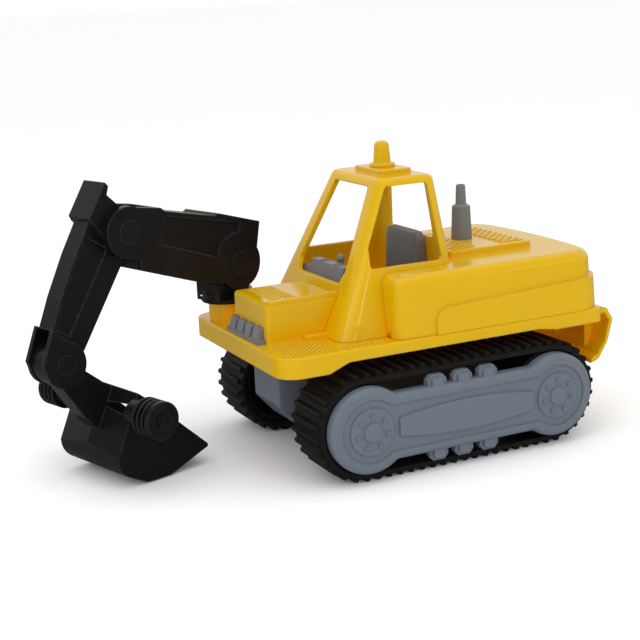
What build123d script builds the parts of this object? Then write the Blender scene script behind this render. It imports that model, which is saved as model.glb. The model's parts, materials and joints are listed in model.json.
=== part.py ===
"""Toy excavator: yellow deck, hood and cab over grey track covers and rubber tracks, with a black arm.

Frame: millimetres. +X points the way the digger faces, +Y is its left side, +Z is up.
The origin lies on the ground, midway between the axles and between the tracks.
The undercarriage, the yellow upper works and everything in the cab are one rigid group.
The wheels turn on their axles, and the arm swings, lifts, reaches and scoops.
"""
from build123d import *
import math
import os

os.makedirs("parts", exist_ok=True)

# ---------------------------------------------------------------- driving dimensions
# running gear
wheelbase = 150.0          # between the front and rear axles
track_centre = 67.8        # middle of each rubber track, from the centre plane
belt_width = 43.0          # across a rubber track
belt_wall = 3.0            # thickness of the band under the cleats
cleat_height = 3.2         # cleats stand this far out of the band
cleat_inset = 2.2          # plain rim left each side of the cleats
cleat_count = 60           # cleats round one track
cleat_root = 4.6           # cleat length along the track at its foot
cleat_tip = 2.6            # and at its tip
wheel_radius = 31.6        # black wheel that carries the track
belt_gap = 0.3             # wheel to track
wheel_width = 37.0
wheel_web = 6.0            # solid web in the middle of a wheel
wheel_rim = 4.0            # rim wall of a wheel
wheel_hub_radius = 9.0
axle_radius = 2.5
running_gap = 0.08         # wheel bore to axle, on the radius

# chassis
chassis_half_width = 21.0
chassis_nose = 35.5        # chassis ahead of the front axle
chassis_tail = 31.0        # and behind the rear one
chassis_drop = 11.1        # its underside, below the axles
chin_rise = 4.9            # where the sloping chin meets the front face, above the axles
chassis_wall = 3.0
chin_length = 14.0
axle_tube_gap = 0.5        # axle tube to wheel
axle_tube_wall = 4.0
axle_bite = 3.5            # each axle's end sits this deep in its cover
end_wall = 5.0             # outer wall of a side frame
axle_gap = 76.0            # side frame is this much shorter than the wheelbase
side_frame_height = 25.0

# grey track covers
cover_thickness = 9.5
cover_gap = 1.2            # wheel to cover, sideways
cover_margin = 1.2         # cover inside the wheel's rim
cover_rounding = 4.0
cover_waist_drop = 7.0     # a cover is this much lower between the wheels
groove_drop = 8.0          # groove round each hub, inside the cover's edge
disc_drop = 13.8           # raised disc inside it
groove_edge = 6.8          # and inside its edge between the hubs
panel_gap = 21.0           # centre panel to each hub's centre
panel_half_height = 11.2
panel_end_height = 6.4
roller_pitch = 20.5        # three roller bumps above and below
roller_width = 15.0
roller_depth = 5.5
hub_radius = 6.7
bolt_circle = 11.6         # seven moulded bolt heads
bolt_count = 7
bolt_head_radius = 1.7
relief = 1.2               # height of the moulded decoration

# yellow deck
front_overhang = 57.0      # deck ahead of the front axle
rear_overhang = 52.0       # deck behind the rear axle
deck_half_width = 82.8
deck_clearance = 16.8      # top of the deck above the tracks
deck_wall = 3.0
deck_corner = 15.0
deck_rear_corner = 8.0
skirt_depth = 14.0         # skirt in front of the tracks
skirt_step = 8.0           # skirt above the tracks
skirt_front_run = 34.0     # length of deep skirt in front, before it climbs
skirt_rear_run = 43.0
skirt_ramp = 15.0          # length of that climb

# nose box beside the arm
nose_setback = 9.5         # nose behind the deck's front edge
nose_rear = 60.0
nose_left = 38.0
nose_right = -21.0
nose_height = 28.5
nose_lip = 2.5

# rear bumper
bumper_inset = 7.0         # inside the deck's edge
bumper_depth = 12.5        # how far it stands out behind the deck
bumper_drop = 43.0         # how far it hangs below the deck's top

# boom post on the deck
post_setback = 19.7        # post axis behind the deck's front edge
post_y = -59.1
post_radius = 14.0
post_height = 13.0
arm_swing = 17.4           # how far the arm is swung to the left as it stands

# body shell behind the cab
body_front = 45.0
body_overhang = 4.5        # body behind the deck's rear edge, at its middle
body_bulge = 7.0           # how far the middle of the rear stands out
body_side_gap = 2.2        # body inside the deck's edge
body_height = 42.8
body_shoulder = 8.0       # rounding along the top edges
body_corner = 24.0         # upright corners at the back
body_front_corner = 8.0
body_wall = 2.6
band_front_height = 18.5   # raised band low on the body
band_rear_height = 24.5
band_rise = 2.2
body_draft = 3.0           # degrees
band_front = 14.0

# grille plate and exhaust on the hood
grille_front = -24.0
grille_rear = -94.0
grille_half_width = 38.0
grille_thickness = 4.3
stack_x = -58.0
stack_y = -2.0
stack_height = 41.0

# cab
cab_front = 81.0           # at the deck
cab_rear = -20.5
cab_half_width = 66.0
roof_front = 32.0
roof_rear = -12.5
roof_half_width = 40.0
cab_height = 105.0
cab_wall = 3.0
roof_rounding = 5.0
cab_corner = 12.0
sill_height = 46.0         # lower edge of the side windows, above the deck
windshield_height = 34.0   # lower edge of the windshield
head_height = 99.0         # upper edge of every window

# arm
arm_half_width = 19.0      # boom cheeks
lug_half_width = 12.6      # what fits between the boom cheeks
boom_length = 102.8        # pin to pin
boom_rise = 21.3           # degrees above level as it stands
stick_length = 99.2
stick_lean = 56.9          # degrees below level as it stands, pin to pin
pin_radius = 8.1           # boom pins
stick_pin_radius = 6.9     # bucket pin
pin_gap = 0.08             # pin to lug, on the radius
side_gap = 0.4             # lug to cheek, each side
rear_pin_u = 0.7           # boom foot pin, ahead of the post's axis
foot_pin_height = 30.0     # boom foot pin, above the post
bucket_half_width = 35.5
bucket_wall = 2.6
knob_face = 67.0           # outer face of each ribbed knob
knob_radius = 13.3
knob_u = -36.0             # knob axis, from the bucket pin
knob_w = -36.9

knob_hub_radius = 9.5
knob_spigot_radius = 5.0
knob_ribs = 4
bucket_drop = 89.2         # lowest point of the bucket, below its pin

# swivel under the boom
bracket_radius = 19.2
bracket_gap = 0.2          # bracket to post
spigot_radius = 8.0
collar_height = 8.8

# cab fittings
beacon_x = 9.0
beacon_flange_radius = 9.2
beacon_radius = 6.4
beacon_height = 18.5
seat_half_width = 23.0
seat_height = 62.0
dash_half_width = 38.0
dash_setback = 24.5        # behind the foot of the windshield
dash_height = 43.0
lamp_count = 4

# fasteners
screw_boss_radius = 5.0
screw_radius = 1.5
screw_head_radius = 3.0
screw_head_height = 2.0
screw_sink = 6.0           # deck screws' heads are this deep in the chassis
screw_bite = 6.0           # cover screws in the covers
cover_screw_x = (-24.0, 24.0)
deck_screw_boss = 5.0      # height of the deck's screw bosses
body_screw_length = 9.0

# ---------------------------------------------------------------- worked-out sizes
belt_inner = wheel_radius + belt_gap
belt_outer = belt_inner + belt_wall
track_radius = belt_outer + cleat_height
axle_z = track_radius
half_base = wheelbase / 2
belt_path = 2 * wheelbase + 2 * math.pi * belt_outer
cleat_pitch = belt_path / cleat_count
chassis_front = half_base + chassis_nose
chassis_rear = -half_base - chassis_tail
chassis_floor = axle_z - chassis_drop
chassis_chin = axle_z + chin_rise
side_frame_inner = track_centre - wheel_width / 2 + 0.7
side_frame_length = wheelbase - axle_gap
axle_tube_end = track_centre - wheel_width / 2 - axle_tube_gap
cover_back = track_centre + wheel_width / 2 + cover_gap
cover_face = cover_back + cover_thickness
axle_end = cover_back + axle_bite
side_frame_outer = cover_back
cover_radius = wheel_radius - cover_margin
cover_waist = cover_radius - cover_waist_drop
groove_radius = cover_radius - groove_drop
disc_radius = cover_radius - disc_drop
deck_front = half_base + front_overhang
deck_rear = -half_base - rear_overhang
deck_top = 2 * track_radius + deck_clearance
deck_under = deck_top - deck_wall
skirt_low = deck_top - skirt_depth
skirt_high = deck_top - skirt_step
deck_screw_x = (15.0 - half_base, half_base + 13.0)
skirt_front_break = deck_front - skirt_front_run
skirt_rear_break = deck_rear + skirt_rear_run
nose_front = deck_front - nose_setback
nose_top = deck_top + nose_height
post_x = deck_front - post_setback
post_top = deck_top + post_height
body_rear = deck_rear - body_overhang
body_half_width = deck_half_width - body_side_gap
body_top = deck_top + body_height
roof_top = deck_top + cab_height
sill = deck_top + sill_height
windshield_sill = deck_top + windshield_height
window_head = deck_top + head_height
collar_low = post_top + bracket_gap
collar_top = collar_low + collar_height
rear_pin_z = post_top + foot_pin_height
seat_top = deck_top + seat_height


def stadium(radius):
    """Outline round both wheels, in the XZ plane about the axle line."""
    SlotCenterToCenter(wheelbase, 2 * radius)


def belt_point(distance, radius_out):
    """Point at a distance along the track's outer line, set out by radius_out, with its direction."""
    straight = wheelbase
    bend = math.pi * belt_outer
    d = distance % belt_path
    if d < straight:
        return (half_base - d, -radius_out, 180.0)
    d -= straight
    if d < bend:
        a = 270.0 - math.degrees(d / belt_outer)
        t = math.radians(a)
        return (-half_base + radius_out * math.cos(t), radius_out * math.sin(t), a - 90.0)
    d -= bend
    if d < straight:
        return (-half_base + d, radius_out, 0.0)
    d -= straight
    a = 90.0 - math.degrees(d / belt_outer)
    t = math.radians(a)
    return (half_base + radius_out * math.cos(t), radius_out * math.sin(t), a - 90.0)


def side_plane(y, z=0.0):
    """Upright plane at y, seen from the digger's right: sketch x is +X and sketch y is +Z."""
    return Plane(origin=(0, y, z), x_dir=(1, 0, 0), z_dir=(0, -1, 0))


def save(piece, name):
    piece.part.label = name
    export_step(piece.part, "parts/" + name + ".step")


# ---------------------------------------------------------------- rubber tracks
cleat_outline = [
    (-cleat_root / 2, -0.4),
    (cleat_root / 2, -0.4),
    (cleat_root / 2, 0.3),
    (cleat_tip / 2, cleat_height),
    (-cleat_tip / 2, cleat_height),
    (-cleat_root / 2, 0.3),
]


def make_belt():
    outer_y = track_centre + belt_width / 2
    cleat_y = outer_y - cleat_inset
    with BuildPart() as belt:
        with BuildSketch(side_plane(outer_y, axle_z)):
            stadium(belt_outer)
            SlotCenterToCenter(wheelbase, 2 * belt_inner, mode=Mode.SUBTRACT)
        extrude(amount=belt_width)
        with BuildSketch(side_plane(cleat_y, axle_z)):
            for i in range(cleat_count):
                x, z, heading = belt_point(i * cleat_pitch, belt_outer)
                with Locations(Location((x, z), heading)):
                    Polygon(*cleat_outline, align=None)
        extrude(amount=belt_width - 2 * cleat_inset)
    return belt


left_track = make_belt()
save(left_track, "left_track")
with BuildPart() as right_track:
    mirror(left_track.part, about=Plane.XZ)
save(right_track, "right_track")


# ---------------------------------------------------------------- wheels and axles
def make_wheel(x, side):
    """Black wheel: rim, web and hub, turning freely on its axle."""
    outer_y = side * track_centre + wheel_width / 2
    recess = (wheel_width - wheel_web) / 2
    with BuildPart() as wheel:
        with BuildSketch(side_plane(outer_y, axle_z)):
            with Locations((x, 0)):
                Circle(wheel_radius)
                Circle(axle_radius + running_gap, mode=Mode.SUBTRACT)
        extrude(amount=wheel_width)
        for face_y in (outer_y, outer_y - wheel_width + recess):
            with BuildSketch(side_plane(face_y, axle_z)):
                with Locations((x, 0)):
                    Circle(wheel_radius - wheel_rim)
                    Circle(wheel_hub_radius, mode=Mode.SUBTRACT)
            extrude(amount=recess, mode=Mode.SUBTRACT)
    return wheel


wheels = {
    "front_left_wheel": (half_base, 1),
    "rear_left_wheel": (-half_base, 1),
    "front_right_wheel": (half_base, -1),
    "rear_right_wheel": (-half_base, -1),
}
for wheel_name, (wheel_x, wheel_side) in wheels.items():
    save(make_wheel(wheel_x, wheel_side), wheel_name)

for axle_name, axle_x in (("front_axle", half_base), ("rear_axle", -half_base)):
    with BuildPart() as axle:
        with BuildSketch(side_plane(axle_end, axle_z)):
            with Locations((axle_x, 0)):
                Circle(axle_radius)
        extrude(amount=2 * axle_end)
        chamfer(axle.edges().filter_by(GeomType.CIRCLE), 0.5)
    save(axle, axle_name)


# ---------------------------------------------------------------- chassis
with BuildPart() as chassis:
    # centre box between the tracks, with a sloping chin at both ends
    with BuildSketch(side_plane(chassis_half_width)):
        Polygon(
            (chassis_rear, deck_under),
            (chassis_rear, chassis_chin),
            (chassis_rear + chin_length, chassis_floor),
            (chassis_front - chin_length, chassis_floor),
            (chassis_front, chassis_chin),
            (chassis_front, deck_under),
            align=None,
        )
    extrude(amount=2 * chassis_half_width)
    fillet(chassis.edges().filter_by(Axis.Z), 3.0)
    # hollow from below
    with BuildSketch(Plane.XY.offset(chassis_floor)):
        with Locations(((chassis_front + chassis_rear) / 2, 0)):
            Rectangle(
                chassis_front - chassis_rear - 2 * (chin_length + chassis_wall),
                2 * (chassis_half_width - chassis_wall),
            )
    extrude(amount=deck_under - chassis_floor - chassis_wall, mode=Mode.SUBTRACT)
    # cross beam that carries the side frames through the tracks
    with BuildSketch(side_plane(side_frame_outer, axle_z)):
        RectangleRounded(side_frame_length, side_frame_height, 4.0)
    extrude(amount=side_frame_outer - chassis_half_width + chassis_wall)
    with BuildSketch(side_plane(-chassis_half_width + chassis_wall, axle_z)):
        RectangleRounded(side_frame_length, side_frame_height, 4.0)
    extrude(amount=side_frame_outer - chassis_half_width + chassis_wall)
    # pillars for the deck screws, and bosses round both axles
    with BuildSketch(Plane.XY.offset(chassis_floor + screw_sink)):
        with Locations(*[(x, 0) for x in deck_screw_x]):
            Circle(screw_boss_radius)
    extrude(amount=deck_under - chassis_floor - screw_sink)
    with BuildSketch(side_plane(axle_tube_end, axle_z)):
        with Locations((half_base, 0), (-half_base, 0)):
            Circle(axle_radius + axle_tube_wall)
    extrude(amount=2 * axle_tube_end)
    with BuildSketch(side_plane(axle_tube_end, axle_z)):
        with Locations((half_base, 0), (-half_base, 0)):
            Circle(axle_radius)
    extrude(amount=2 * axle_tube_end, mode=Mode.SUBTRACT)
    # the side frames are hollow as far as their end walls, where the cover screws sit
    with BuildSketch(side_plane(side_frame_outer - end_wall, axle_z)):
        RectangleRounded(side_frame_length - 2 * chassis_wall, side_frame_height - 2 * chassis_wall, 2.0)
    extrude(amount=2 * (side_frame_outer - end_wall), mode=Mode.SUBTRACT)
    with BuildSketch(side_plane(side_frame_outer, axle_z)):
        with Locations(*[(x, 0) for x in cover_screw_x]):
            Circle(screw_radius)
    extrude(amount=2 * side_frame_outer, mode=Mode.SUBTRACT)
    # screw holes
    with BuildSketch(Plane.XY.offset(chassis_floor)):
        with Locations(*[(x, 0) for x in deck_screw_x]):
            Circle(screw_radius)
    extrude(amount=deck_under, mode=Mode.SUBTRACT)
save(chassis, "chassis")


# ---------------------------------------------------------------- track covers
panel_half_length = half_base - panel_gap
groove_half_height = cover_waist - groove_edge
roller_top = belt_inner - cover_margin
roller_face = cover_back + roller_depth


def make_cover():
    """Left track cover: a dumb-bell plate with moulded hubs, bolts, a centre panel and roller bumps."""
    with BuildPart() as cover:
        with BuildSketch(side_plane(cover_face, axle_z)) as outline:
            Rectangle(wheelbase, 2 * cover_waist)
            with Locations((half_base, 0), (-half_base, 0)):
                Circle(cover_radius)
            fillet(outline.vertices().filter_by_position(Axis.X, -half_base, half_base), 5.0)
        extrude(amount=cover_face - cover_back)
        fillet(cover.faces().sort_by(Axis.Y)[-1].edges(), cover_rounding)
        # sunk field inside the groove line, with raised discs, hubs, bolts and centre panel
        with BuildSketch(side_plane(cover_face, axle_z)):
            Rectangle(wheelbase, 2 * groove_half_height)
            with Locations((half_base, 0), (-half_base, 0)):
                Circle(groove_radius)
        extrude(amount=relief, mode=Mode.SUBTRACT)
        with BuildSketch(side_plane(cover_face, axle_z)):
            with Locations((half_base, 0), (-half_base, 0)):
                Circle(disc_radius)
        extrude(amount=relief)
        with BuildSketch(side_plane(cover_face + relief, axle_z)):
            for x in (half_base, -half_base):
                with Locations((x, 0)):
                    Circle(hub_radius)
                    with PolarLocations(bolt_circle, bolt_count, start_angle=90):
                        RegularPolygon(bolt_head_radius, 6)
        extrude(amount=2 * relief)
        with BuildSketch(side_plane(cover_face + 0.4, axle_z)):
            with BuildLine():
                ThreePointArc(
                    (-panel_half_length, panel_end_height),
                    (0, panel_half_height),
                    (panel_half_length, panel_end_height),
                )
                Line((panel_half_length, panel_end_height), (panel_half_length, -panel_end_height))
                ThreePointArc(
                    (panel_half_length, -panel_end_height),
                    (0, -panel_half_height),
                    (-panel_half_length, -panel_end_height),
                )
                Line((-panel_half_length, -panel_end_height), (-panel_half_length, panel_end_height))
            make_face()
        extrude(amount=2 * relief)
        # roller bumps above and below the waist
        for up in (1, -1):
            for i in (-1, 0, 1):
                x = 1.5 + i * roller_pitch
                with BuildSketch(side_plane(roller_face, axle_z)):
                    Polygon(
                        (x - roller_width / 2, up * (cover_waist - 6)),
                        (x + roller_width / 2, up * (cover_waist - 6)),
                        (x + roller_width / 2, up * (roller_top - 3.5)),
                        (x + roller_width / 2 - 3, up * roller_top),
                        (x - roller_width / 2 + 3, up * roller_top),
                        (x - roller_width / 2, up * (roller_top - 3.5)),
                        align=None,
                    )
                extrude(amount=roller_face - cover_back)
                with BuildSketch(side_plane(roller_face + 1.8, axle_z)):
                    with Locations((x, up * (cover_waist + 1.5))):
                        RectangleRounded(roller_width - 6, 8, 2.0)
                extrude(amount=2.5)
        # blind bores at the back for the axle ends and the cover screws
        with BuildSketch(side_plane(axle_end, axle_z)):
            with Locations((half_base, 0), (-half_base, 0)):
                Circle(axle_radius)
        extrude(amount=axle_end - cover_back, mode=Mode.SUBTRACT)
        with BuildSketch(side_plane(cover_back + screw_bite, axle_z)):
            with Locations(*[(x, 0) for x in cover_screw_x]):
                Circle(screw_radius)
        extrude(amount=screw_bite, mode=Mode.SUBTRACT)
    return cover


left_cover = make_cover()
save(left_cover, "left_track_cover")
with BuildPart() as right_cover:
    mirror(left_cover.part, about=Plane.XZ)
save(right_cover, "right_track_cover")

with BuildPart() as cover_screws:
    for sign in (1, -1):
        start = Plane(
            origin=(0, sign * (side_frame_outer - end_wall), axle_z),
            x_dir=(1, 0, 0),
            z_dir=(0, sign, 0),
        )
        with BuildSketch(start):
            with Locations(*[(x, 0) for x in cover_screw_x]):
                Circle(screw_radius)
        extrude(amount=end_wall + screw_bite)
        with BuildSketch(start):
            with Locations(*[(x, 0) for x in cover_screw_x]):
                Circle(screw_head_radius)
        extrude(amount=-screw_head_height)
save(cover_screws, "cover_screws")


# ---------------------------------------------------------------- deck
def deck_outline(inset=0.0):
    """Plan of the deck, set in from its outer faces."""
    with BuildSketch() as plan:
        with BuildLine():
            Polyline(
                (deck_rear + inset, deck_half_width - inset),
                (deck_front - inset, deck_half_width - inset),
                (deck_front - inset, inset - deck_half_width),
                (deck_rear + inset, inset - deck_half_width),
                close=True,
            )
        make_face()
        fillet(plan.vertices().group_by(Axis.X)[-1], deck_corner - inset)
        fillet(plan.vertices().group_by(Axis.X)[0], deck_rear_corner - inset)
    return plan.sketch


def cab_solid(inset, top_inset):
    """Tapered block of the cab, set in from its outer faces."""
    base_z = deck_top - (1.0 if inset else 0.0)
    with BuildPart() as block:
        with BuildSketch(Plane.XY.offset(base_z)):
            with Locations(((cab_front + cab_rear) / 2, 0)):
                RectangleRounded(
                    cab_front - cab_rear - 2 * inset,
                    2 * (cab_half_width - inset),
                    cab_corner - inset,
                )
        with BuildSketch(Plane.XY.offset(roof_top - top_inset)):
            with Locations(((roof_front + roof_rear) / 2, 0)):
                RectangleRounded(
                    roof_front - roof_rear - 2 * inset,
                    2 * (roof_half_width - inset),
                    cab_corner - inset - 3,
                )
        loft()
    return block.part


cab_outer = cab_solid(0.0, 0.0)
cab_inner = cab_solid(cab_wall, cab_wall + 0.5)

body_screw_y = body_half_width - body_wall - 3.5
body_screw_x = (body_rear + body_corner, body_front - 37.0)
body_screw_places = [(x, side * body_screw_y) for x in body_screw_x for side in (1, -1)]
cab_screw_y = cab_half_width - 6.5
cab_screw_x = (cab_rear + 10.5, cab_front - 15.0)
cab_screw_places = [(x, side * cab_screw_y) for x in cab_screw_x for side in (1, -1)]

with BuildPart() as deck:
    with BuildSketch(Plane.XY.offset(skirt_low)):
        add(deck_outline())
    extrude(amount=deck_top - skirt_low)
    fillet(deck.faces().sort_by(Axis.Z)[-1].edges(), 1.2)
    with BuildSketch(Plane.XY.offset(skirt_low)):
        add(deck_outline(deck_wall))
    extrude(amount=deck_under - skirt_low, mode=Mode.SUBTRACT)
    # the skirt climbs over the tracks
    with BuildSketch(side_plane(deck_half_width + 1)):
        Polygon(
            (skirt_front_break, skirt_low - 1),
            (skirt_front_break, skirt_low),
            (skirt_front_break - skirt_ramp, skirt_high),
            (skirt_rear_break + skirt_ramp, skirt_high),
            (skirt_rear_break, skirt_high - 2.5),
            (deck_rear - 1, skirt_high - 2.5),
            (deck_rear - 1, skirt_low - 1),
            align=None,
        )
    extrude(amount=2 * deck_half_width + 2, mode=Mode.SUBTRACT)
    # nose box
    with BuildSketch(Plane.XY.offset(deck_under)):
        with Locations(((nose_front + nose_rear) / 2, (nose_left + nose_right) / 2)):
            Rectangle(nose_front - nose_rear, nose_left - nose_right)
    extrude(amount=nose_top - deck_under)
    nose_edges = deck.edges().filter_by_position(Axis.Z, deck_top + 0.5, nose_top + 1)
    fillet(nose_edges.filter_by(Axis.Z).group_by(Axis.X)[-1], 3.0)
    fillet(deck.faces().sort_by(Axis.Z)[-1].edges().filter_by_position(Axis.X, nose_rear + 1, nose_front + 1), 2.8)
    with BuildSketch(Plane.XY.offset(deck_under - 1)):
        with Locations(((nose_front + nose_rear) / 2, (nose_left + nose_right) / 2)):
            Rectangle(nose_front - nose_rear - 2 * deck_wall, nose_left - nose_right - 2 * deck_wall)
    extrude(amount=nose_top - deck_wall - deck_under + 1, mode=Mode.SUBTRACT)
    with BuildSketch(Plane.XY.offset(deck_under)):
        with Locations(((nose_front + nose_rear) / 2, (nose_left + nose_right) / 2)):
            Rectangle(nose_front - nose_rear - deck_wall, nose_left - nose_right - deck_wall)
    extrude(amount=deck_wall)
    # raised edge along the nose's left side
    with BuildSketch(side_plane(nose_left)):
        Polygon(
            (nose_rear, nose_top - 1),
            (nose_front - 1, nose_top - 1),
            (nose_front - 2.5, nose_top + nose_lip * 0.6),
            (nose_rear, nose_top + nose_lip),
            align=None,
        )
    extrude(amount=deck_wall)
    add(cab_outer, mode=Mode.SUBTRACT)
    # boom post with the bore that the swivel turns in
    with BuildSketch(Plane.XY.offset(deck_under)):
        with Locations((post_x, post_y)):
            Circle(post_radius)
    extrude(amount=post_top - deck_under)
    with BuildSketch(Plane.XY.offset(skirt_low)):
        with Locations((post_x, post_y)):
            Circle(spigot_radius + running_gap)
    extrude(amount=post_top - skirt_low, mode=Mode.SUBTRACT)
    # bosses for the screws that come up from the chassis
    with BuildSketch(Plane.XY.offset(deck_under)):
        with Locations(*[(x, 0) for x in deck_screw_x]):
            Circle(screw_boss_radius)
    extrude(amount=deck_wall + deck_screw_boss)
    with BuildSketch(Plane.XY.offset(deck_under)):
        with Locations(*[(x, 0) for x in deck_screw_x]):
            Circle(screw_radius)
    extrude(amount=deck_wall + deck_screw_boss - 1, mode=Mode.SUBTRACT)
    with BuildSketch(Plane.XY.offset(deck_under)):
        with Locations(*(body_screw_places + cab_screw_places)):
            Circle(screw_radius)
    extrude(amount=deck_wall, mode=Mode.SUBTRACT)
save(deck, "deck")


def screw(x, y, head_z, length):
    """Round-headed screw standing up from its head's seat."""
    with BuildPart() as piece:
        with BuildSketch(Plane.XY.offset(head_z)):
            with Locations((x, y)):
                Circle(screw_radius)
        extrude(amount=length)
        with BuildSketch(Plane.XY.offset(head_z)):
            with Locations((x, y)):
                Circle(screw_head_radius)
        extrude(amount=-screw_head_height)
    return piece.part


deck_screw_tip = deck_top + deck_screw_boss - 1
with BuildPart() as chassis_screws:
    for x in deck_screw_x:
        add(screw(x, 0, chassis_floor + screw_sink, deck_screw_tip - chassis_floor - screw_sink))
save(chassis_screws, "chassis_screws")

with BuildPart() as body_screws:
    for x, y in body_screw_places + cab_screw_places:
        add(screw(x, y, deck_under, body_screw_length))
save(body_screws, "body_screws")


# ---------------------------------------------------------------- rear bumper
bumper_half_width = deck_half_width - bumper_inset
bumper_low = deck_top - bumper_drop
with BuildPart() as bumper:
    with BuildSketch(side_plane(bumper_half_width)) as section:
        with BuildLine():
            Polyline(
                (deck_rear, deck_top - 1),
                (deck_rear - 7, deck_top - 3),
                (deck_rear - bumper_depth, deck_top - 12),
                (deck_rear - 8, deck_top - 28),
                (deck_rear, bumper_low + 2.5),
                (deck_rear + 7, bumper_low),
                (deck_rear + 7, bumper_low + deck_wall),
                (deck_rear + 1, bumper_low + deck_wall + 3),
                (deck_rear - 5.5, deck_top - 28),
                (deck_rear - bumper_depth + deck_wall, deck_top - 12.5),
                (deck_rear - 5, deck_top - 6),
                (deck_rear, deck_top - 7),
                close=True,
            )
        make_face()
        fillet(section.vertices().group_by(Axis.X)[0], 4.0)
    extrude(amount=2 * bumper_half_width)
    for y in (-58.0, -20.0, 20.0, 58.0):
        with BuildSketch(side_plane(y)):
            Polygon(
                (deck_rear, deck_top - 6),
                (deck_rear - 5, deck_top - 5),
                (deck_rear - bumper_depth + 1.5, deck_top - 12.5),
                (deck_rear - 7, deck_top - 28),
                (deck_rear, bumper_low + 5),
                (deck_rear, deck_top - 22),
                align=None,
            )
        extrude(amount=2.5)
save(bumper, "rear_bumper")


# ---------------------------------------------------------------- body shell behind the cab
def body_plan(grow):
    """Plan of the body, set out by grow: crisp front corners, a bulging rear."""
    half = body_half_width + grow
    rear = body_rear - grow
    with BuildSketch() as plan:
        with BuildLine():
            Polyline((rear + body_bulge, -half), (body_front, -half), (body_front, half), (rear + body_bulge, half))
            ThreePointArc((rear + body_bulge, half), (rear, 0), (rear + body_bulge, -half))
        make_face()
        fillet(plan.vertices().group_by(Axis.X)[-1], body_front_corner)
        fillet(plan.vertices().group_by(Axis.X)[0], body_corner)
    return plan.sketch


grille_centre = ((grille_front + grille_rear) / 2, 0)
with BuildPart() as band:
    with BuildSketch(Plane.XY.offset(deck_top)):
        add(body_plan(band_rise))
    extrude(amount=band_rear_height + 5, taper=body_draft)
    with BuildSketch(side_plane(body_half_width + 10)):
        Polygon(
            (body_front + 10, deck_top - 1),
            (band_front, deck_top - 1),
            (band_front, deck_top + band_front_height - 8),
            (band_front - 3, deck_top + band_front_height - 2),
            (band_front - 10, deck_top + band_front_height),
            (body_rear - 10, deck_top + band_rear_height),
            (body_rear - 10, body_top),
            (body_front + 10, body_top),
            align=None,
        )
    extrude(amount=2 * body_half_width + 20, mode=Mode.SUBTRACT)

with BuildPart() as body:
    with BuildSketch(Plane.XY.offset(deck_top)):
        add(body_plan(0.0))
    extrude(amount=body_height, taper=body_draft)
    fillet(body.faces().sort_by(Axis.Z)[-1].edges(), body_shoulder)
    add(band.part)
    # tread plate on the hood
    with BuildSketch(Plane.XY.offset(body_top - 1)):
        with Locations(grille_centre):
            RectangleRounded(grille_front - grille_rear, 2 * grille_half_width, 3.0)
    extrude(amount=grille_thickness + 1)
    fillet(body.faces().sort_by(Axis.Z)[-1].edges(), 1.0)
    # hollow
    with BuildSketch(Plane.XY.offset(deck_top)):
        add(body_plan(-body_wall))
    extrude(amount=body_height - body_wall, taper=body_draft + 4, mode=Mode.SUBTRACT)
    # screw bosses against the side walls
    with BuildSketch(Plane.XY.offset(deck_top)):
        with Locations(*body_screw_places):
            Circle(screw_boss_radius)
    extrude(amount=body_screw_length + 2)
    with BuildSketch(Plane.XY.offset(deck_top)):
        with Locations(*body_screw_places):
            Circle(screw_radius)
    extrude(amount=body_screw_length - deck_wall, mode=Mode.SUBTRACT)
    add(cab_outer, mode=Mode.SUBTRACT)
save(body, "body_shell")

# ---------------------------------------------------------------- exhaust stack
stack_foot = body_top + grille_thickness
with BuildPart() as stack:
    with BuildSketch(Plane.XZ.offset(-stack_y)):
        with BuildLine():
            Polyline(
                (stack_x, stack_foot),
                (stack_x + 7.9, stack_foot),
                (stack_x + 6.8, stack_foot + 25),
                (stack_x + 4.1, stack_foot + 26.5),
                (stack_x + 3.4, stack_foot + stack_height),
                (stack_x, stack_foot + stack_height),
                close=True,
            )
        make_face()
    revolve(axis=Axis((stack_x, stack_y, 0), (0, 0, 1)))
    fillet(stack.edges().filter_by(GeomType.CIRCLE).sort_by(Axis.Z)[-1], 0.8)
    with BuildSketch(Plane.XY.offset(stack_foot + stack_height)):
        with Locations((stack_x, stack_y)):
            Circle(2.2)
    extrude(amount=-6, mode=Mode.SUBTRACT)
save(stack, "exhaust_stack")

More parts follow.
